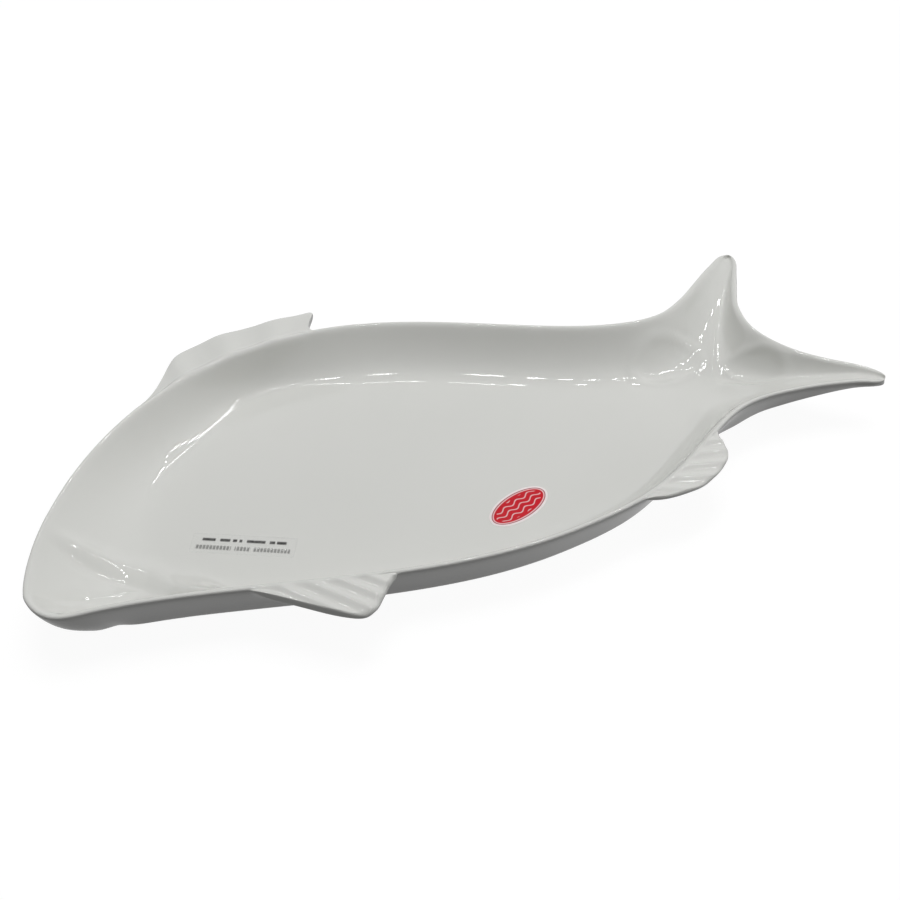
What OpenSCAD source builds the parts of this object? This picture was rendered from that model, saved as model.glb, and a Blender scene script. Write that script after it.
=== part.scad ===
// Fish-shaped serving platter.
// One glazed porcelain casting with a deep basin, a forked tail, three ribbed fins and a foot ring,
// an oval paper sticker and a clear film label. Both labels lie on the basin floor.
// The head points to -X, the back of the fish to +Y. The platter stands on z = 0.

/* [Body] */
// Snout to the neck before the tail
body_length = 300; // [292:1:325]
// Long axis to the rim at the top of the back
back_height = 100; // [80:1:120]
// Snout to the top of the back
back_at = 130; // [110:1:150]
// Long axis to the rim at the bottom of the belly
belly_depth = 66.5; // [55:0.5:85]
// Snout to the bottom of the belly
belly_at = 195; // [175:1:215]
// Long axis to the rim at the chin
chin_depth = 15.5; // [12:0.5:22]
// Length over which the snout is rounded
snout_round = 11; // [8:0.5:16]

/* [Tail] */
// Neck to the tips of the tail
tail_length = 61; // [50:1:75]
// Tips of the tail to the bottom of the fork
fork_depth = 28; // [22:1:36]
// Long axis to the rim on the back side of the neck
neck_back = 32; // [25:0.5:38]
// Long axis to the rim on the belly side of the neck
neck_belly = 39; // [32:0.5:46]
// Long axis to the tip of the back lobe
tail_back = 57; // [48:0.5:70]
// Long axis to the tip of the belly lobe
tail_belly = 55; // [48:0.5:70]
// Depth of the trough at the tail tips
tip_depth = 1.5; // [1:0.1:4]
// Thickness under the trough at the tail tips
tip_thickness = 2.4; // [2:0.1:4]

/* [Section] */
// Rim to the basin floor
basin_depth = 20; // [14:0.5:30]
// Thickness of the basin floor
floor_thickness = 3.5; // [2.5:0.1:6]
// Height of the foot ring
foot_height = 1.5; // [0.8:0.1:3]
// Width of the foot ring
foot_width = 4; // [2.5:0.1:5]
// Width of the rounded lip
lip_width = 2.6; // [2.4:0.1:5]
// Rim edge to the outside of the foot ring
foot_inset = 11.5; // [9:0.5:14]
// Rim edge to the flat basin floor
floor_inset = 25; // [20:0.5:28]
// Rim edge to the flat basin floor at the shoulder
shoulder_inset = 13; // [12:0.5:28]
// Snout to the shoulder, next to the top of the back
shoulder_at = 126; // [110:1:140]
// Rim to the bowl of the head, near the snout
snout_depth = 15; // [10:0.5:20]

/* [Gill ridge] */
// Snout to the ridge at the belly rim
gill_belly_at = 63; // [55:0.5:66]
// Snout to the ridge at the back rim
gill_back_at = 15; // [13:0.5:22]
// Width of the ridge
gill_width = 8; // [6:0.5:10]
// Height of the ridge
gill_height = 2.2; // [0.6:0.1:3]

/* [Tail pockets] */
// Depth of the two pockets where the basin meets the tail
pocket_depth = 2.2; // [0:0.1:2.5]
// Length of a pocket
pocket_length = 40; // [30:1:50]
// Width of a pocket
pocket_width = 22; // [14:1:24]

/* [Fins] */
// Thickness of the edges of the pectoral and dorsal fins
fin_thickness = 4; // [2.6:0.1:5.5]
// Thickness of the edge of the anal fin
anal_thickness = 2.5; // [2.4:0.1:5.5]
// Height of the ribs of the pectoral and anal fins
rib_height = 1.2; // [0.4:0.1:2]
// Height of the folds of the dorsal fin
fold_height = 1.1; // [0.2:0.1:1.6]
// Depth of the pectoral and anal fins below the crest of the rim
fin_dip = 0.5; // [0.2:0.1:1.5]
// Depth of the dorsal fin below the crest of the rim
dorsal_dip = 1.5; // [0.2:0.1:2.4]
// Snout to the front of the pectoral fin
pectoral_at = 72; // [72:0.5:82]
// Length of the pectoral fin at its root
pectoral_root = 51; // [40:0.5:60]
// Reach of the pectoral fin past its root
pectoral_reach = 17.7; // [10:0.1:24]
// Number of ribs across the pectoral fin
pectoral_ribs = 5; // [3:1:6]
// Snout to the front of the dorsal fin
dorsal_at = 70; // [60:0.5:78]
// Length of the dorsal fin at its root
dorsal_root = 86; // [75:0.5:100]
// Reach of the dorsal fin past its root
dorsal_reach = 24.6; // [20:0.1:34]
// Number of folds across the dorsal fin
dorsal_folds = 4; // [2:1:6]
// Snout to the front of the anal fin
anal_at = 224; // [218:0.5:232]
// Length of the anal fin at its root
anal_root = 50; // [40:0.5:55]
// Reach of the anal fin past its root
anal_reach = 13.5; // [10:0.1:22]
// Number of ribs across the anal fin
anal_ribs = 6; // [3:1:6]

/* [Labels] */
// Length of the oval sticker
sticker_length = 30; // [20:0.5:36]
// Width of the oval sticker
sticker_width = 15.5; // [10:0.5:20]
// Thickness of the oval sticker
sticker_thickness = 0.2; // [0.1:0.05:0.4]
// Snout to the middle of the sticker
sticker_at = 190; // [150:1:215]
// Belly rim to the middle of the sticker
sticker_inset = 38; // [34:0.5:60]
// Turn of the sticker from the long axis
sticker_turn = 14; // [-45:1:45]
// Length of the clear label
label_length = 42; // [30:0.5:50]
// Width of the clear label
label_width = 10.5; // [8:0.5:16]
// Thickness of the clear label
label_thickness = 0.15; // [0.1:0.05:0.3]
// Snout to the middle of the label
label_at = 83.5; // [78:0.5:100]
// Long axis to the middle of the label, on the back side
label_aside = 5; // [0:0.5:30]
// Turn of the label from the long axis
label_turn = -33; // [-45:1:45]

/* [Hidden] */

floor_z = foot_height + floor_thickness;
rim_z = floor_z + basin_depth;
tail_end = body_length + tail_length;
fork_at = tail_end - fork_depth;
// Long axis to the bottom of the fork, on the back side
fork_aside = 3;

// Fullness of the four stretches of the body outline, 1 is an even S
chin_swell = 0.88;
belly_swell = 1.5;
snout_swell = 0.72;
back_swell = 1.19;

// Tail outline, as shares of the tail length or fork depth and of the way from neck or fork to tip
belly_lobe_outside = [[0.32, 0.15], [0.58, 0.42], [0.8, 0.74], [0.93, 1], [0.98, 0.89]];
belly_lobe_inside = [[0.97, 0.905], [0.79, 0.74], [0.48, 0.57], [0.17, 0.345]];
back_lobe_inside = [[0.19, 0.32], [0.48, 0.52], [0.79, 0.73], [1, 0.9]];
back_lobe_outside = [[0.99, 0.93], [0.92, 1], [0.79, 0.88], [0.56, 0.59], [0.295, 0.235]];

// Fin outlines: share of the root where a ray leaves, shares of root length and reach where it ends
pectoral_edge = [
    [0, 0, 0], [0.05, 0.12, 0.16], [0.1, 0.32, 0.44], [0.16, 0.52, 0.77], [0.22, 0.64, 0.93],
    [0.29, 0.74, 1], [0.39, 0.81, 0.9], [0.54, 0.865, 0.68], [0.72, 0.915, 0.38], [0.895, 0.965, 0.13],
    [1, 1, 0]
];
dorsal_edge = [
    [0, 0, 0], [0.1, 0.125, 0.3], [0.22, 0.276, 0.79], [0.3, 0.345, 0.95], [0.47, 0.528, 1.02],
    [0.62, 0.7, 0.96], [0.75, 0.86, 0.82], [0.86, 1.03, 0.67], [0.92, 1.11, 0.54], [0.96, 1.01, 0.25],
    [1, 1, 0]
];
anal_edge = [
    [0, 0, 0], [0.045, 0.08, 0.23], [0.085, 0.15, 0.48], [0.14, 0.265, 0.72], [0.21, 0.385, 0.92],
    [0.31, 0.525, 1], [0.43, 0.67, 0.98], [0.57, 0.81, 0.86], [0.73, 0.905, 0.56], [0.89, 0.965, 0.22],
    [1, 1, 0]
];

function ease(t) = t * t * (3 - 2 * t);
function clamp(t) = max(0, min(1, t));
function mix(a, b, t) = a + (b - a) * t;
function unit(v) = v / norm(v);
function left_of(v) = [-v.y, v.x];

// Smooth curve through the values v at the rising knots k
function slope(k, v, i) =
    i == 0 ? (v[1] - v[0]) / (k[1] - k[0]) :
    i == len(k) - 1 ? (v[i] - v[i - 1]) / (k[i] - k[i - 1]) :
    let (before = k[i] - k[i - 1], after = k[i + 1] - k[i])
    ((v[i] - v[i - 1]) / before * after + (v[i + 1] - v[i]) / after * before) / (before + after);
function stretch(k, t, i = 0) = i >= len(k) - 2 || t < k[i + 1] ? i : stretch(k, t, i + 1);
function curve(k, v, t) =
    let (i = stretch(k, t), h = k[i + 1] - k[i], u = (t - k[i]) / h)
    mix(v[i], v[i + 1], ease(u)) +
    (slope(k, v, i) * (1 - u) - slope(k, v, i + 1) * u) * h * u * (1 - u);
function lengths(p, i = 0, sum = 0) =
    i == len(p) - 1 ? [sum] : concat([sum], lengths(p, i + 1, sum + norm(p[i + 1] - p[i])));

// Body outline
function snout_close(x) = x < snout_round ? sqrt(1 - pow(1 - x / snout_round, 2)) : 1;
function belly_y(x) = -snout_close(x) * (x < belly_at
    ? mix(chin_depth, belly_depth, ease(pow(x / belly_at, chin_swell)))
    : mix(belly_depth, neck_belly, ease(pow((x - belly_at) / (body_length - belly_at), belly_swell))));
function back_y(x) = x < back_at
    ? back_height * pow(1 - pow(1 - x / back_at, 2), snout_swell)
    : mix(back_height, neck_back, ease(pow((x - back_at) / (body_length - back_at), back_swell)));

// Rows of stations along the body: name, belly x, back x and the number of steps to the next row.
// Between the fin ends and the ridge a row lies at a share of the way, belly side first.
head_row = [0.42, 0.72];
pectoral_row = 0.62;
dorsal_row = 0.38;
loin_row = [0.72, 0.57];
// Width of the gill ridge at the back rim as a share of its width at the belly rim
gill_taper = 0.6;
pectoral_end = pectoral_at + pectoral_root;
dorsal_end = dorsal_at + dorsal_root;
anal_end = anal_at + anal_root;
gill_half = gill_width / 2;
gill_back_half = gill_half * gill_taper;
rows = [
    ["snout", 0, 0, 6],
    ["head", head_row[0] * (gill_belly_at - gill_half), head_row[1] * (gill_back_at - gill_back_half), 4],
    ["gill", gill_belly_at - gill_half, gill_back_at - gill_back_half, 4],
    ["throat", gill_belly_at + gill_half, gill_back_at + gill_back_half, 6],
    ["fins", pectoral_at, dorsal_at, 20],
    ["pectoral end", pectoral_end, mix(dorsal_at, dorsal_end, pectoral_row), 14],
    ["dorsal end", mix(pectoral_end, anal_at, dorsal_row), dorsal_end, 5],
    ["loin", mix(pectoral_end, anal_at, loin_row[0]), mix(dorsal_end, anal_at, loin_row[1]), 4],
    ["anal fin", anal_at, anal_at, 24],
    ["anal end", anal_end, anal_end, 4],
    ["neck", body_length, body_length, 0]
];
// How closely the stations crowd at the snout, 1 is evenly
snout_packing = 2;
function steps_to(name, r = 0, sum = 0) = rows[r][0] == name ? sum : steps_to(name, r + 1, sum + rows[r][3]);
function spread(side) = [
    for (r = [0:len(rows) - 1])
        for (s = [0:max(0, rows[r][3] - 1)])
            rows[r][3] == 0 ? rows[r][side] :
            mix(rows[r][side], rows[r + 1][side], pow(s / rows[r][3], r == 0 ? snout_packing : 1))
];
body_steps = steps_to("neck");
gill_first = steps_to("gill");
gill_last = steps_to("throat");
gill_middle = (gill_first + gill_last) / 2;
belly = [for (x = spread(1)) [x, belly_y(x)]];
back = [for (x = spread(2)) [x, back_y(x)]];

// Tail outline, from the belly side of the neck round both lobes to the back side.
// It starts and ends in the directions of points that lie this far before the neck.
lead = 12;
function outside(p, neck, tip) = [body_length + p.x * tail_length, mix(neck, tip, p.y)];
function inside(p, tip) = [fork_at + p.x * fork_depth, mix(fork_aside, tip, p.y)];
tail_points = concat(
    [[body_length - lead, belly_y(body_length - lead)], [body_length, -neck_belly]],
    [for (p = belly_lobe_outside) outside(p, -neck_belly, -tail_belly)],
    [for (p = belly_lobe_inside) inside(p, -tail_belly)],
    [[fork_at, fork_aside]],
    [for (p = back_lobe_inside) inside(p, tail_back)],
    [for (p = back_lobe_outside) outside(p, neck_back, tail_back)],
    [[body_length, neck_back], [body_length - lead, back_y(body_length - lead)]]
);
tail_knots = lengths(tail_points);
tail_shares = [0, 1 / 3, 2 / 3];
lobe_steps = len(tail_shares) * len(belly_lobe_outside);
tail = [
    for (p = [1:len(tail_points) - 3])
        for (s = tail_shares)
            curve(tail_knots, tail_points, mix(tail_knots[p], tail_knots[p + 1], s))
];

// Rim edge: snout, belly, belly lobe, fork, back lobe, back
rim = concat(
    [for (k = [0:body_steps - 1]) belly[k]],
    tail,
    [for (k = [body_steps:-1:1]) back[k]]
);
count = len(rim);
function rim_at(i) = rim[(i + count) % count];

// Spine that the stations run to: along the body to the fork, then into both lobes
function lobe_step(i) = let (k = (i - body_steps) % (2 * lobe_steps)) min(k, 2 * lobe_steps - k);
function in_tail(i) = i > body_steps && i < body_steps + 4 * lobe_steps;
function in_back_lobe(i) = i > body_steps + 2 * lobe_steps;
function spine_of(i) =
    in_tail(i)
        ? let (k = min(lobe_step(i), lobe_steps - 1))
          body_steps + (k > 0 && in_back_lobe(i) ? lobe_steps - 1 + k : k)
        : max(1, min(i, count - i));
// Steps by which the spine starts behind the snout
snout_pull = 7.4;
function spine_step(k) = k + snout_pull * clamp(1 - k / steps_to("fins"));
function body_middle(k) = mix(
    (belly[floor(k)] + back[floor(k)]) / 2,
    (belly[ceil(k)] + back[ceil(k)]) / 2,
    k - floor(k)
);
// Distance past the neck where the spine forks
fork_lead = 8;
fork_root = body_middle(body_steps) + [fork_lead, 0];
function lobe_middle(first, k) = (rim[first + k] + rim[first + 2 * lobe_steps - k]) / 2;
function lobe_spine(first, k) =
    lobe_middle(first, k) + (fork_root - lobe_middle(first, 0)) * pow(1 - k / lobe_steps, 2);
spine = concat(
    [for (k = [0:body_steps - 1]) body_middle(spine_step(k))],
    [fork_root],
    [for (k = [1:lobe_steps - 1]) lobe_spine(body_steps, k)],
    [for (k = [1:lobe_steps - 1]) lobe_spine(body_steps + 2 * lobe_steps, k)]
);

// Per station: way inward, its lean from square, the room to the spine, and how far it is into the tail,
// into the head, along the shoulder and towards a tail tip
way = [for (i = [0:count - 1]) unit(spine[spine_of(i)] - rim[i])];
square = [for (i = [0:count - 1]) unit(left_of(rim_at(i + 1) - rim_at(i - 1)))];
// Smallest cosine between the way and the square direction that is reckoned with
least_lean = 0.5;
lean = [for (i = [0:count - 1]) max(least_lean, way[i] * square[i])];
room = [for (i = [0:count - 1]) norm(spine[spine_of(i)] - rim[i]) * lean[i]];
// Share of the body length where the tail section starts
tail_from = 0.92;
// Half length of the shoulder along the back, and the share of the foot ring's inset there
shoulder_reach = 48;
shoulder_foot = 0.72;
// Extra inset of the foot ring under the snout, and the length of the chin over which it fades
chin_tuck = 5.5;
chin_length = 28;
function chin_part(i) = clamp(1 - rim[i].x / chin_length);
// Largest shares of the room: for the lip, for the wall in the body and where it is soft, for the foot
// ring in the body and in the tail, and for the width of the foot ring
lip_share = 0.4;
wall_share = [0.85, 0.96];
foot_share = [0.62, 0.42];
foot_width_share = 0.2;
// How the trough rises to the tips, and how much of the foot ring is gone there
trough_power = 1.35;
foot_fade = 0.9;
tail_part = [
    for (i = [0:count - 1])
        ease(clamp((rim[i].x / body_length - tail_from) / (1 - tail_from)))
];
function row_step(i) = min(i, count - i);
head_part = [
    for (i = [0:count - 1])
        ease(clamp((steps_to("fins") - row_step(i)) / (steps_to("fins") - gill_middle)))
];
shoulder_part = [
    for (i = [0:count - 1])
        rim[i].y < 0 ? 0 : ease(clamp(1 - abs(rim[i].x - shoulder_at) / shoulder_reach))
];
tip_part = [
    for (i = [0:count - 1])
        !in_tail(i) ? 0 :
        norm(spine[spine_of(i)] - fork_root) /
        norm(spine[body_steps + (in_back_lobe(i) ? 2 : 1) * (lobe_steps - 1)] - fork_root)
];
foot_depth = [for (i = [0:count - 1]) mix(tip_depth, basin_depth, pow(1 - tip_part[i], trough_power))];
depth = [
    for (i = [0:count - 1])
        foot_depth[i] - (basin_depth - snout_depth) * ease(clamp(1 - row_step(i) / gill_first))
];
soft_part = [for (i = [0:count - 1]) max(tail_part[i], head_part[i])];
lip = [for (i = [0:count - 1]) min(lip_width, lip_share * room[i])];
flat = [
    for (i = [0:count - 1])
        min(
            mix(mix(floor_inset, shoulder_inset, shoulder_part[i]), room[i], soft_part[i]),
            room[i] * mix(wall_share[0], wall_share[1], soft_part[i])
        )
];
foot_out = [
    for (i = [0:count - 1])
        min(
            foot_inset * mix(1, shoulder_foot, shoulder_part[i]) + chin_tuck * chin_part(i),
            room[i] * mix(foot_share[0], foot_share[1], tail_part[i])
        )
];
foot_in = [for (i = [0:count - 1]) foot_out[i] + min(foot_width, foot_width_share * room[i])];
thickness = [for (i = [0:count - 1]) mix(floor_thickness, tip_thickness, pow(tip_part[i], 2))];
under = [for (i = [0:count - 1]) rim_z - depth[i] - thickness[i]];
foot_z = [
    for (i = [0:count - 1])
        rim_z - foot_depth[i] - thickness[i] - foot_height * (1 - foot_fade * tip_part[i])
];
foot_drop = under - foot_z;

function inset(i, d) = rim[i] + way[i] * d / lean[i];
function at(i, d, z) = let (p = inset(i, d)) [p.x, p.y, z];

// Gill ridge: a swell of the basin surface along the stations next to gill_middle
function gill_swell(i) =
    let (u = clamp(1 - abs(row_step(i) - gill_middle) / (gill_middle - gill_first)))
    gill_height * ease(u);

// Middle of the pocket at the foot of the back wall, before the neck and below its rim, and its turn
back_pocket = [4, 15];
back_pocket_turn = 20;
// Middle of the pocket at the foot of the fork, before it and to the belly side, and its turn
fork_pocket = [9, 14];
fork_pocket_turn = -55;
// How steeply a pocket starts at its edge, 1 is softly
pocket_edge = 1.5;
pockets = [
    [body_length - back_pocket[0], neck_back - back_pocket[1], back_pocket_turn],
    [fork_at - fork_pocket[0], fork_aside - fork_pocket[1], fork_pocket_turn]
];
function pocket_drop(p) = [
    for (k = pockets)
        let (
            away = [p.x - k[0], p.y - k[1]],
            along = [cos(k[2]), sin(k[2])],
            u = away * along / (pocket_length / 2),
            v = away * left_of(along) / (pocket_width / 2)
        )
        pocket_depth * ease(clamp(pocket_edge * (1 - norm([u, v]))))
] * [1, 1];
function dimpled(p) = p - [0, 0, pocket_drop(p)];

// Basin wall, p from 0 at the lip to 1 at the floor
wall_shares = [1, 0.77, 0.55, 0.36, 0.2, 0.08, 0];
// Drop of the inside of the lip as a share of its width
lip_drop = 0.3;
// How steep the wall starts, in the body, in the head and in the tail
wall_powers = [2.9, 2, 2.7];
// Share of the wall over which the ridge rises
gill_start = 0.3;
function wall_power(i) =
    mix(mix(wall_powers[0], wall_powers[1], head_part[i]), wall_powers[2], tail_part[i]);
function basin_point(i, p) =
    let (
        top = lip_drop * lip[i],
        run = flat[i] - lip[i],
        fall = depth[i] - top,
        steep = fall / run * wall_power(i) * pow(1 - p, wall_power(i) - 1),
        rise = gill_swell(i) * ease(clamp(p / gill_start)) / sqrt(1 + steep * steep),
        drop = top + fall * (1 - pow(1 - p, wall_power(i)))
    )
    dimpled(at(i, lip[i] + run * p + rise * steep, rim_z - drop + rise));

// Fins: front and rear station, edge shares, reach, number of ribs, rib height, thickness, depth
fins = [
    [
        steps_to("fins"), steps_to("pectoral end"),
        pectoral_edge, pectoral_reach, pectoral_ribs, rib_height, fin_thickness, fin_dip
    ],
    [
        steps_to("anal fin"), steps_to("anal end"),
        anal_edge, anal_reach, anal_ribs, rib_height, anal_thickness, fin_dip
    ],
    [
        count - steps_to("fins"), count - steps_to("dorsal end"),
        dorsal_edge, dorsal_reach, dorsal_folds, fold_height, fin_thickness, dorsal_dip
    ]
];
function fin_first(f) = min(fins[f][0], fins[f][1]);
function fin_last(f) = max(fins[f][0], fins[f][1]);
function fin_of(i) =
    let (hit = [for (f = [0:len(fins) - 1]) if (i > fin_first(f) && i < fin_last(f)) f])
    len(hit) > 0 ? hit[0] : -1;
function fin_front(f) = rim[fins[f][0]];
function fin_rear(f) = rim[fins[f][1]];
function fin_side(f) = fin_front(f).y < 0 ? -1 : 1;
function fin_share(f, i) = (rim[i].x - fin_front(f).x) / (fin_rear(f).x - fin_front(f).x);
function fin_edge(f, i) =
    let (
        a = fin_front(f),
        b = fin_rear(f),
        leaves = [for (p = fins[f][2]) p[0]],
        ends = [for (p = fins[f][2]) [p[1], p[2]]],
        shares = curve(leaves, ends, fin_share(f, i))
    )
    a + (b - a) * shares[0] + fin_side(f) * left_of(unit(b - a)) * fins[f][3] * shares[1];
edge = [for (i = [0:count - 1]) fin_of(i) < 0 ? rim[i] : fin_edge(fin_of(i), i)];

// The ribs fade in over one part in 4 of the root and out over one part in 6
rib_fade = [4, 6];
// How narrow the ribs are, 1 is as wide as the grooves, and the share of their height in the grooves
rib_sharpness = 3;
groove_share = 0.4;
// Rib height on the ray of fin f that leaves from station i
function rib(f, i) =
    let (
        s = fin_share(f, i),
        turn = 180 * fins[f][4] * (i - fins[f][0]) / (fins[f][1] - fins[f][0]),
        fade = ease(clamp(rib_fade[0] * s)) * ease(clamp(rib_fade[1] * (1 - s)))
    )
    fins[f][5] * fade * (pow(abs(cos(turn)), rib_sharpness) - groove_share);

// Points along a fin ray, as shares of the way from the crest to the fin edge
fin_top_shares = [0.16, 0.34, 0.52, 0.7, 0.86, 1];
fin_under_shares = [1, 0.5];
// Rounding of the fin edge, and its largest share of the ray
edge_round = 1.2;
edge_share = 0.3;
// Inset of the crest and drop of the rim edge as shares of the lip width
crest_share = 0.36;
edge_drop = 0.3;
function crest(i) =
    let (f = fin_of(i), p = inset(i, crest_share * lip[i]))
    [p.x, p.y, rim_z + (f < 0 ? 0 : rib(f, i) / 2)];
function fin_reach(i, t) =
    let (
        p = inset(i, crest_share * lip[i]),
        far = norm(edge[i] - p),
        q = edge[i] + (p - edge[i]) * min(edge_round, edge_share * far) / far
    )
    mix(p, q, t);
function fin_top_z(i) = rim_z - fins[fin_of(i)][7];
function fin_under_z(i) = fin_top_z(i) - fins[fin_of(i)][6];
function fin_top(i, t) = let (p = fin_reach(i, t)) [p.x, p.y, fin_top_z(i) + rib(fin_of(i), i)];
function fin_under(i, t) = let (p = fin_reach(i, t)) [p.x, p.y, mix(rim_z - lip[i], fin_under_z(i), t)];
function edge_point(i) = [
    edge[i].x, edge[i].y,
    fin_of(i) < 0
        ? rim_z - edge_drop * lip[i]
        : (fin_top_z(i) + fin_under_z(i) + rib(fin_of(i), i)) / 2
];

// Rings of points, from the basin floor over the lip and down to the underside.
// Shares: inset under the lip of the lip width, inset and drop at half height, that inset under the snout,
// slopes of the foot ring.
under_lip = 0.12;
mid_wall = [0.55, 0.52];
chin_wall = 0.32;
foot_slope = [0.4, 0.8];
// Largest share of the room where the recess inside the foot ring starts
recess_share = 0.95;
function recess(i) = min(foot_in[i] + foot_slope[1] * foot_drop[i], recess_share * room[i]);
function mid_wall_point(i) =
    at(
        i,
        mix(mid_wall[0], chin_wall, chin_part(i)) * foot_out[i],
        mix(rim_z - lip[i], foot_z[i], mid_wall[1])
    );
function foot_top_point(i) =
    at(i, foot_out[i] - foot_slope[0] * foot_height, foot_z[i] + (1 - foot_slope[0]) * foot_height);
lip_ring = len(wall_shares);
rings = concat(
    [for (p = wall_shares) [for (i = [0:count - 1]) basin_point(i, p)]],
    [[for (i = [0:count - 1]) crest(i)]],
    [[for (i = [0:count - 1]) edge_point(i)]],
    [[for (i = [0:count - 1]) at(i, under_lip * lip[i], rim_z - lip[i])]],
    [[for (i = [0:count - 1]) mid_wall_point(i)]],
    [[for (i = [0:count - 1]) foot_top_point(i)]],
    [[for (i = [0:count - 1]) at(i, foot_out[i], foot_z[i])]],
    [[for (i = [0:count - 1]) at(i, foot_in[i], foot_z[i])]],
    [[for (i = [0:count - 1]) at(i, recess(i), under[i])]]
);
stations_of_spine = [
    for (k = [0:len(spine) - 1])
        [for (i = [0:count - 1]) if (spine_of(i) == k) i][0]
];
function spine_point(k, z) = [spine[k].x, spine[k].y, z];
spine_top = [
    for (k = [1:len(spine) - 1])
        let (i = stations_of_spine[k])
        dimpled(spine_point(k, rim_z - depth[i] + gill_swell(i)))
];
spine_under = [for (k = [1:len(spine) - 1]) spine_point(k, under[stations_of_spine[k]])];

// Fin points that the rings don't hold, station by station
fin_stations = [for (f = [0:len(fins) - 1]) each [fin_first(f) + 1:fin_last(f) - 1]];
fin_points = [
    for (i = fin_stations)
        each concat([for (t = fin_top_shares) fin_top(i, t)], [for (t = fin_under_shares) fin_under(i, t)])
];

points = concat(spine_top, spine_under, [for (r = rings) each r], fin_points);
ring_start = 2 * len(spine_top);
fin_start = ring_start + len(rings) * count;
fin_rows = len(fin_top_shares) + len(fin_under_shares);

function ring_id(r, i) = ring_start + r * count + i % count;
function order(i, n = 0) = fin_stations[n] == i ? n : order(i, n + 1);
function fin_id(i, n) = fin_start + order(i) * fin_rows + n;

// Point numbers of a station from the crest to the wall under the lip, over the fin where there is one
function lip_column(i) =
    fin_of(i % count) < 0
        ? [for (r = [0:2]) ring_id(lip_ring + r, i)]
        : concat(
            [ring_id(lip_ring, i)],
            [for (n = [0:len(fin_top_shares) - 1]) fin_id(i % count, n)],
            [ring_id(lip_ring + 1, i)],
            [for (n = [len(fin_top_shares):fin_rows - 1]) fin_id(i % count, n)],
            [ring_id(lip_ring + 2, i)]
        );

// Two triangles of a cell, with the diagonals in a diamond pattern
function cell(a, b, c, d, even) = even ? [[a, b, c], [a, c, d]] : [[a, b, d], [b, c, d]];
function strip(one, two, i, first) = [
    for (n = [0:len(one) - 2])
        each cell(one[n], two[n], two[n + 1], one[n + 1], (i + first + n) % 2 == 0)
];
// Where a fin starts or ends, its points fan out from the rim edge
function fan(plain, full, forward) =
    let (loop = concat([plain[0]], full, [plain[2]]))
    [
        for (n = [0:len(loop) - 2])
            forward ? [plain[1], loop[n], loop[n + 1]] : [plain[1], loop[n + 1], loop[n]]
    ];
function lip_faces(i) =
    let (one = lip_column(i), two = lip_column(i + 1))
    len(one) == len(two) ? strip(one, two, i, lip_ring) :
    len(one) < len(two) ? fan(one, two, true) : fan(two, one, false);
function ring_faces(first, last) = [
    for (i = [0:count - 1])
        each strip(
            [for (r = [first:last]) ring_id(r, i)],
            [for (r = [first:last]) ring_id(r, i + 1)],
            i, first
        )
];
// Faces between a ring and a spine, which are single triangles at the spine's ends
function spine_faces(ring, start, top) = [
    for (i = [0:count - 1])
        let (
            a = start + spine_of(i) - 1,
            b = start + spine_of((i + 1) % count) - 1,
            c = ring_id(ring, i + 1),
            d = ring_id(ring, i),
            faces = a == b ? [[a, c, d]] : cell(a, b, c, d, (i + ring + 1) % 2 == 0)
        )
        each top ? faces : [for (t = faces) [t[0], t[2], t[1]]]
];

platter_faces = concat(
    spine_faces(0, 0, true),
    ring_faces(0, lip_ring),
    [for (i = [0:count - 1]) each lip_faces(i)],
    ring_faces(lip_ring + 2, len(rings) - 1),
    spine_faces(len(rings) - 1, len(spine_top), false)
);

// The origin is under the middle of the whole outline
middle = [
    (min([for (p = edge) p.x]) + max([for (p = edge) p.x])) / 2,
    (min([for (p = edge) p.y]) + max([for (p = edge) p.y])) / 2,
    0
];

oval_sides = 72;
module platter() {
    color([0.92, 0.92, 0.9])
        translate(-middle)
            polyhedron(points, platter_faces);
}

module oval_sticker() {
    color([0.8, 0.07, 0.17])
        translate([sticker_at, belly_y(sticker_at) + sticker_inset, floor_z] - middle)
            rotate(sticker_turn)
                linear_extrude(sticker_thickness)
                    polygon([
                        for (n = [0:oval_sides - 1])
                            let (a = 360 * n / oval_sides)
                            [sticker_length / 2 * cos(a), sticker_width / 2 * sin(a)]
                    ]);
}

module clear_label() {
    color([0.86, 0.87, 0.86])
        translate([label_at, label_aside, floor_z] - middle)
            rotate(label_turn)
                linear_extrude(label_thickness)
                    square([label_length, label_width], center = true);
}

platter();
oval_sticker();
clear_label();
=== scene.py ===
"""A fish-shaped porcelain platter with a red oval sticker and a clear label on its basin floor.

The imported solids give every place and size, in metres. The platter's solid is rounded into smooth porcelain,
and the two labels are made anew on the places of theirs.
"""

import math

import bpy
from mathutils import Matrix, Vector


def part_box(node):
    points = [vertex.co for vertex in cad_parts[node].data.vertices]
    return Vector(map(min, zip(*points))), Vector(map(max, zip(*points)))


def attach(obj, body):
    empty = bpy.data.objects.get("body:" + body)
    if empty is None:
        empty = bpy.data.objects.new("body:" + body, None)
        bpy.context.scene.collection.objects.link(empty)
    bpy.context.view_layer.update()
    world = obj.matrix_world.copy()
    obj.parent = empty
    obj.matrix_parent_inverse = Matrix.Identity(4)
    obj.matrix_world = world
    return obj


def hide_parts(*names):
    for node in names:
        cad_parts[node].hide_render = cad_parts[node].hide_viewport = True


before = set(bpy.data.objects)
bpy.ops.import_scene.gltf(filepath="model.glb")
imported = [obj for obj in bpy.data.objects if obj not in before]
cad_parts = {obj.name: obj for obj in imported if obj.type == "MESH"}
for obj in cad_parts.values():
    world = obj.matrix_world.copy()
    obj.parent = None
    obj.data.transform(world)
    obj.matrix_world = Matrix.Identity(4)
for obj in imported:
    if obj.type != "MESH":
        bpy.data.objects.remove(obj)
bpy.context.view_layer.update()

MM = 0.001

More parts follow.
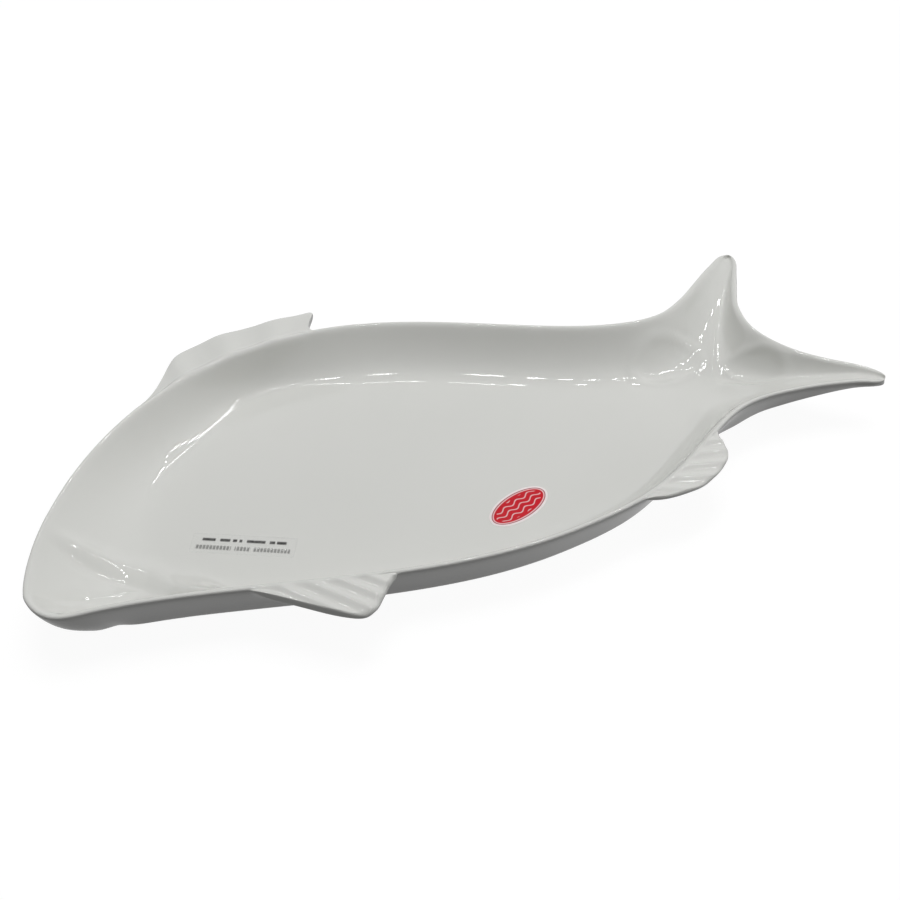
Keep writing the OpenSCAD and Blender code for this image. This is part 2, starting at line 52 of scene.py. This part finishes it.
# The camera, fitted to the rim in the photograph, which is a square picture
CAMERA_PLACE = (-182.389 * MM, -344.185 * MM, 350.895 * MM)
CAMERA_AIM = (-9.313 * MM, -28.124 * MM, 25 * MM)
CAMERA_LENS = 48.1
CAMERA_SENSOR = 36

# The porcelain
SMOOTH_LEVELS = 2
DIAGONAL_SPOKES = 8

# The two pockets where the basin meets the tail: middle, length, width and turn
POCKETS = [
    ((116 * MM, -8 * MM), 31 * MM, 18 * MM, math.radians(-6)),
    ((145.5 * MM, -33.5 * MM), 27 * MM, 10 * MM, math.radians(-64)),
]
POCKET_DEPTH = 0.7 * MM
# Height of a pocket's raised edge, and its middle and half width as shares of the pocket's half size
EDGE_HEIGHT = 0.55 * MM
EDGE_AT = 1.1
EDGE_HALF = 0.3

# The oval sticker and the clear label, as they lie on the floor of the basin
STICKER_LENGTH = 30 * MM
STICKER_WIDTH = 15.5 * MM
STICKER_TURN = math.radians(14)
LABEL_LENGTH = 42 * MM
LABEL_WIDTH = 10.5 * MM
LABEL_TURN = math.radians(-33)
# Width of the film's cut edge, which gets a painted highlight
FILM_GLINT_EDGE = 0.6 * MM

# Light, with the ceiling's height in metres
CEILING = 1.3
DAYLIGHT = 0.2
FLOOR_BOUNCE = 0.1
FLOOR_GLOW = 0.94
MIRRORED = 0.5
KEY_POWER = 6.3
WINDOW_POWER = 3.6
PANEL_POWER = 0.25
SPOT_POWER = 0.2
TUBE_POWER = 0.25


class Wire:
    """An output socket. Sums with it add Math nodes to its shader."""

    def __init__(self, shader, socket):
        self.shader = shader
        self.socket = socket

    def math(self, operation, *values, clamp=False):
        settings = {"operation": operation, "use_clamp": clamp}
        return self.shader.add("ShaderNodeMath", settings, dict(enumerate(values)))

    def __add__(self, other):
        return self.math("ADD", self, other)

    __radd__ = __add__

    def __sub__(self, other):
        return self.math("SUBTRACT", self, other)

    def __rsub__(self, other):
        return self.math("SUBTRACT", other, self)

    def __mul__(self, other):
        return self.math("MULTIPLY", self, other)

    __rmul__ = __mul__

    def __truediv__(self, other):
        return self.math("DIVIDE", self, other)

    def __pow__(self, other):
        return self.math("POWER", self, other)

    def root(self):
        return self.math("SQRT", self)

    def sine(self):
        return self.math("SINE", self)

    def fraction(self):
        return self.math("FRACT", self)

    def over(self, edge, blur):
        """1 where this is past the edge and 0 before it, with a blurred step between."""
        return self.math("MULTIPLY_ADD", self, 1 / blur, 0.5 - edge / blur, clamp=True)

    def between(self, low, high, blur):
        return self.over(low, blur) - self.over(high, blur)


class Shader:
    """The nodes of a material, a lamp or the world."""

    def __init__(self, owner):
        owner.use_nodes = True
        self.tree = owner.node_tree
        self.tree.nodes.clear()

    def add(self, kind, settings=None, sockets=None, output=0):
        node = self.tree.nodes.new(kind)
        for name, setting in (settings or {}).items():
            setattr(node, name, setting)
        for name, value in (sockets or {}).items():
            if isinstance(value, Wire):
                self.tree.links.new(value.socket, node.inputs[name])
            else:
                node.inputs[name].default_value = value
        return Wire(self, node.outputs[output]) if node.outputs else None

    def blend(self, share, first, second):
        """A colour between two."""
        return self.add("ShaderNodeMix", {"data_type": "RGBA"}, {0: share, 6: first, 7: second}, output=2)

    def place(self, middle=(0, 0, 0), turn=0):
        """Object coordinates, measured from a middle along axes that are turned about Z."""
        spot = self.add("ShaderNodeTexCoord", output="Object")
        return self.add("ShaderNodeMapping", {"vector_type": "TEXTURE"}, {
            "Vector": spot, "Location": middle, "Rotation": (0, 0, turn),
        })

    def split(self, vector):
        return [self.add("ShaderNodeSeparateXYZ", sockets={"Vector": vector}, output=axis) for axis in "XYZ"]

    def noise(self, spot, scale, detail=2):
        return self.add("ShaderNodeTexNoise", sockets={"Vector": spot, "Scale": scale, "Detail": detail})


def grey(level):
    return (level, level, level, 1)


def pick(piece):
    """Makes a piece the only selected and the active one."""
    bpy.ops.object.select_all(action="DESELECT")
    piece.select_set(True)
    bpy.context.view_layer.objects.active = piece


def glazed_porcelain():
    """White glaze, wavy and a little uneven, which stops short of the biscuit-coloured foot ring."""
    material = bpy.data.materials.new("glazed_porcelain")
    shader = Shader(material)
    spot = shader.place()
    height = shader.split(spot)[2]
    cloud = shader.noise(spot, 14)
    ripple = shader.noise(spot, 120, 1)
    bare = 1 - height.over(0.35 * MM, 0.3 * MM)
    glaze = shader.blend(cloud, (0.72, 0.727, 0.695, 1), (0.76, 0.763, 0.735, 1))
    colour = shader.blend(bare, glaze, (0.66, 0.6, 0.5, 1))
    gloss = 0.015 + 0.02 * cloud
    wave = shader.add("ShaderNodeBump", sockets={
        "Height": ripple, "Strength": 0.2, "Distance": 0.1 * MM,
    })
    surface = shader.add("ShaderNodeBsdfPrincipled", sockets={
        "Base Color": colour, "Roughness": gloss + 0.6 * bare, "IOR": 1.52, "Normal": wave,
    })
    shader.add("ShaderNodeOutputMaterial", sockets={"Surface": surface})
    return material


def red_sticker_paper(middle):
    """Satin paper: a white border, a thin pale ring on red, and plain waves."""
    material = bpy.data.materials.new("red_sticker_paper")
    shader = Shader(material)
    spot = shader.place(middle, STICKER_TURN)
    along, across, _ = shader.split(spot)
    half_length, half_width = STICKER_LENGTH / 2, STICKER_WIDTH / 2
    oval = ((along / half_length) ** 2 + (across / half_width) ** 2).root()
    steepness = ((along / half_length ** 2) ** 2 + (across / half_width ** 2) ** 2).root()
    inwards = (1 - oval) * oval / steepness
    red = inwards.over(1 * MM, 0.25 * MM)
    ring = inwards.between(1.4 * MM, 1.9 * MM, 0.25 * MM)
    swell = across - 0.7 * MM * (along * (2 * math.pi / (6.5 * MM))).sine()
    waves = (swell / (2.6 * MM) + 0.5).fraction().between(0.41, 0.59, 0.12)
    mark = ring + waves * inwards.over(3 * MM, 0.3 * MM)
    grain = shader.noise(spot, 900)
    ink = shader.blend(grain, (0.58, 0.002, 0.013, 1), (0.64, 0.004, 0.018, 1))
    edge_ink = shader.blend(inwards.over(1.4 * MM, 0.2 * MM), (0.33, 0.006, 0.018, 1), ink)
    printed = shader.blend(mark, edge_ink, (0.9, 0.64, 0.66, 1))
    colour = shader.blend(red, (0.95, 0.87, 0.87, 1), printed)
    fibre = shader.add("ShaderNodeBump", sockets={"Height": grain, "Strength": 0.3, "Distance": 0.02 * MM})
    surface = shader.add("ShaderNodeBsdfPrincipled", sockets={
        "Base Color": colour, "Roughness": 0.3 + 0.12 * grain, "Specular IOR Level": 0.2, "Normal": fibre,
    })
    shader.add("ShaderNodeOutputMaterial", sockets={"Surface": surface})
    return material


def clear_label_film(middle):
    """Clear glossy film with a painted highlight along its cut edge, which is a little whiter, and two rows of
    plain dark bars.
    """
    material = bpy.data.materials.new("clear_label_film")
    shader = Shader(material)
    spot = shader.place(middle, LABEL_TURN)
    along, across, _ = shader.split(spot)
    half_length, half_width = LABEL_LENGTH / 2 - FILM_GLINT_EDGE, LABEL_WIDTH / 2 - FILM_GLINT_EDGE
    wide = along.between(-half_length, half_length, 0.3 * MM)
    # Painted highlight: the film's cut edge is made a little more opaque and whiter
    edge_glint = 1 - wide * across.between(-half_width, half_width, 0.3 * MM)
    bold = [(-16.8, -11.6), (-9.7, -5.7), (-4.6, -3), (-2, -0.9), (1, 8.4), (10.1, 12.2), (13, 16.8)]
    fine = [(-18.9, -4.6), (-3.1, 3.1), (4.4, 18.9)]
    first, second = [
        sum(along.between(low * MM, high * MM, 0.3 * MM) for low, high in row) for row in (bold, fine)
    ]
    breaks = (along / (1.35 * MM)).fraction().over(0.3, 0.35)
    smudge = shader.noise(spot, 700)
    bold_row = first * across.between(1.4 * MM, 2.8 * MM, 0.5 * MM)
    fine_row = second * breaks * across.between(-3.2 * MM, -1 * MM, 0.5 * MM)
    ink = bold_row * (0.5 + 0.6 * smudge) + 0.45 * fine_row
    colour = shader.blend(ink.over(0.2, 0.3), grey(0.8), grey(0.02))
    surface = shader.add("ShaderNodeBsdfPrincipled", sockets={
        "Base Color": colour,
        "Roughness": 0.06 + 0.1 * smudge,
        "Alpha": 0.03 + 0.02 * edge_glint + 0.9 * ink,
    })
    shader.add("ShaderNodeOutputMaterial", sockets={"Surface": surface})
    return material


def lay_sheet(sheet, node, turn, edge):
    """Gives a flat outline in edit mode its thickness, turns it and lays it in its node's place."""
    low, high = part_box(node)
    middle = (Vector(low) + Vector(high)) / 2
    thickness = high[2] - low[2]
    bpy.ops.mesh.select_all(action="SELECT")
    bpy.ops.transform.rotate(value=-turn, orient_axis="Z", center_override=(0, 0, 0))
    bpy.ops.mesh.extrude_region_move(TRANSFORM_OT_translate={"value": (0, 0, thickness)})
    bpy.ops.mesh.region_to_loop()
    bpy.ops.mesh.bevel(offset=edge, segments=2, affect="EDGES")
    bpy.ops.mesh.select_all(action="SELECT")
    bpy.ops.mesh.normals_make_consistent(inside=False)
    bpy.ops.transform.translate(value=(middle.x, middle.y, low[2]))
    bpy.ops.object.mode_set(mode="OBJECT")
    bpy.ops.object.shade_smooth_by_angle(angle=math.radians(50))
    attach(sheet, "root")
    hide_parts(node)
    return middle


def oval_paper_sticker():
    bpy.ops.object.select_all(action="DESELECT")
    bpy.ops.mesh.primitive_circle_add(vertices=96, radius=1, fill_type="NGON")
    sticker = bpy.context.active_object
    sticker.name = "oval_paper_sticker"
    bpy.ops.object.mode_set(mode="EDIT")
    bpy.ops.transform.resize(value=(STICKER_LENGTH / 2, STICKER_WIDTH / 2, 1))
    middle = lay_sheet(sticker, "oval_sticker", STICKER_TURN, 0.05 * MM)
    sticker.data.materials.append(red_sticker_paper(middle))


def clear_film_label():
    bpy.ops.object.select_all(action="DESELECT")
    bpy.ops.mesh.primitive_plane_add(size=1)
    label = bpy.context.active_object
    label.name = "clear_film_label"
    bpy.ops.object.mode_set(mode="EDIT")
    bpy.ops.transform.resize(value=(LABEL_LENGTH, LABEL_WIDTH, 1))
    bpy.ops.mesh.bevel(offset=0.8 * MM, segments=4, affect="VERTICES")
    middle = lay_sheet(label, "clear_label", LABEL_TURN, 0.04 * MM)
    label.data.materials.append(clear_label_film(middle))


def press_pocket(platter, middle, length, width, turn):
    """Presses a shallow dish with a raised edge into the basin."""
    along = Vector((math.cos(turn), math.sin(turn)))
    across = Vector((-along.y, along.x))
    for vertex in platter.data.vertices:
        away = vertex.co.xy - Vector(middle)
        reach = math.hypot(away.dot(along) / (length / 2), away.dot(across) / (width / 2))
        if vertex.normal.z > 0 and reach < EDGE_AT + EDGE_HALF:
            dish = max(0, 1 - reach ** 2) ** 1.5
            edge = max(0, 1 - ((reach - EDGE_AT) / EDGE_HALF) ** 2) ** 2
            vertex.co += (EDGE_HEIGHT * edge - POCKET_DEPTH * dish) * vertex.normal


def porcelain_platter():
    """The platter's solid with its facets joined into a smooth casting."""
    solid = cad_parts["platter"]
    platter = bpy.data.objects.new("porcelain_platter", solid.data.copy())
    bpy.context.scene.collection.objects.link(platter)
    pick(platter)
    bpy.context.scene.tool_settings.mesh_select_mode = (False, True, False)
    bpy.ops.object.mode_set(mode="EDIT")
    bpy.ops.mesh.select_all(action="SELECT")
    bpy.ops.mesh.remove_doubles(threshold=0.001 * MM)
    bpy.ops.mesh.select_all(action="DESELECT")
    bpy.ops.object.mode_set(mode="OBJECT")
    spokes = [0] * len(platter.data.vertices)
    for edge in platter.data.edges:
        for corner in edge.vertices:
            spokes[corner] += 1
    for edge in platter.data.edges:
        edge.select = all(spokes[corner] == DIAGONAL_SPOKES for corner in edge.vertices)
    bpy.ops.object.mode_set(mode="EDIT")
    bpy.ops.mesh.dissolve_edges(use_verts=False)
    bpy.ops.mesh.select_all(action="SELECT")
    bpy.ops.mesh.tris_convert_to_quads(face_threshold=math.radians(60), shape_threshold=math.radians(70))
    bpy.ops.object.mode_set(mode="OBJECT")
    bpy.ops.object.modifier_add(type="SUBSURF")
    rounding = platter.modifiers[-1]
    rounding.levels = rounding.render_levels = SMOOTH_LEVELS
    bpy.ops.object.modifier_apply(modifier=rounding.name)
    bpy.ops.object.shade_smooth()
    for pocket in POCKETS:
        press_pocket(platter, *pocket)
    platter.data.materials.clear()
    platter.data.materials.append(glazed_porcelain())
    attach(platter, "root")
    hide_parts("platter")


def seen_rays(shader):
    """1 for a ray from the camera, and 1 for a ray that was mirrored or went through clear film."""
    straight, glossy, through = [
        shader.add("ShaderNodeLightPath", output="Is " + kind + " Ray")
        for kind in ("Camera", "Glossy", "Transmission")
    ]
    return straight, glossy + through


def stage():
    """A white floor that keeps the shadow, and daylight."""
    bpy.ops.mesh.primitive_plane_add(size=8)
    floor = bpy.context.active_object
    floor.name = "floor"
    material = bpy.data.materials.new("white_floor")
    shader = Shader(material)
    matt = shader.add("ShaderNodeBsdfDiffuse", sockets={"Color": grey(FLOOR_BOUNCE)})
    glow = shader.add("ShaderNodeEmission", sockets={"Color": grey(1), "Strength": FLOOR_GLOW})
    white = shader.add("ShaderNodeAddShader", sockets={0: matt, 1: glow})
    camera_ray, mirror_ray = seen_rays(shader)
    seen = camera_ray + MIRRORED * mirror_ray
    look = shader.add("ShaderNodeMixShader", sockets={0: seen, 1: matt, 2: white})
    shader.add("ShaderNodeOutputMaterial", sockets={"Surface": look})
    floor.data.materials.append(material)
    world = bpy.data.worlds.new("daylight")
    bpy.context.scene.world = world
    shader = Shader(world)
    camera_ray, mirror_ray = seen_rays(shader)
    seen = camera_ray + mirror_ray
    sky = shader.add("ShaderNodeBackground", sockets={
        "Color": grey(1), "Strength": DAYLIGHT + (1 - DAYLIGHT) * seen,
    })
    shader.add("ShaderNodeOutputWorld", sockets={"Surface": sky})


def lamp(name, place, aim, size, power):
    bpy.ops.object.light_add(type="AREA", location=place)
    light = bpy.context.active_object
    light.name = name
    light.rotation_euler = (Vector(aim) - Vector(place)).to_track_quat("-Z", "Y").to_euler()
    light.data.shape = "RECTANGLE"
    light.data.size, light.data.size_y = size
    light.data.energy = power
    light.visible_camera = False
    return light


def lamp_row(name, first, step, count, size, power):
    """A row of lamps on the ceiling, each facing straight down."""
    for n in range(count):
        place = Vector(first) + n * Vector(step)
        lamp(name, place, (place.x, place.y, 0), size, power)


def camera():
    bpy.ops.object.camera_add(location=CAMERA_PLACE)
    eye = bpy.context.active_object
    eye.rotation_euler = (Vector(CAMERA_AIM) - Vector(CAMERA_PLACE)).to_track_quat("-Z", "Y").to_euler()
    eye.data.lens = CAMERA_LENS
    eye.data.sensor_width = CAMERA_SENSOR
    eye.data.clip_start = 10 * MM
    bpy.context.scene.camera = eye


camera()
stage()
lamp("key", (0.12, 0.2, 1.25), (0, 0, 0), (0.8, 0.7), KEY_POWER).visible_glossy = False
lamp("window", (1.3, -0.6, 0.5), (0, 0, 0), (0.9, 0.7), WINDOW_POWER).visible_glossy = False
lamp_row("panel", (-0.2, 0.05, CEILING), (0.12, 0.02, 0), 8, (0.045, 0.045), PANEL_POWER)
lamp_row("spot", (0.5, 0.72, CEILING), (0.06, -0.2, 0), 7, (0.035, 0.04), SPOT_POWER)
lamp_row("tube", (0.1, 0.84, CEILING), (0.13, 0, 0), 4, (0.1, 0.03), TUBE_POWER)
porcelain_platter()
oval_paper_sticker()
clear_film_label()
bpy.context.scene.view_settings.view_transform = "Standard"
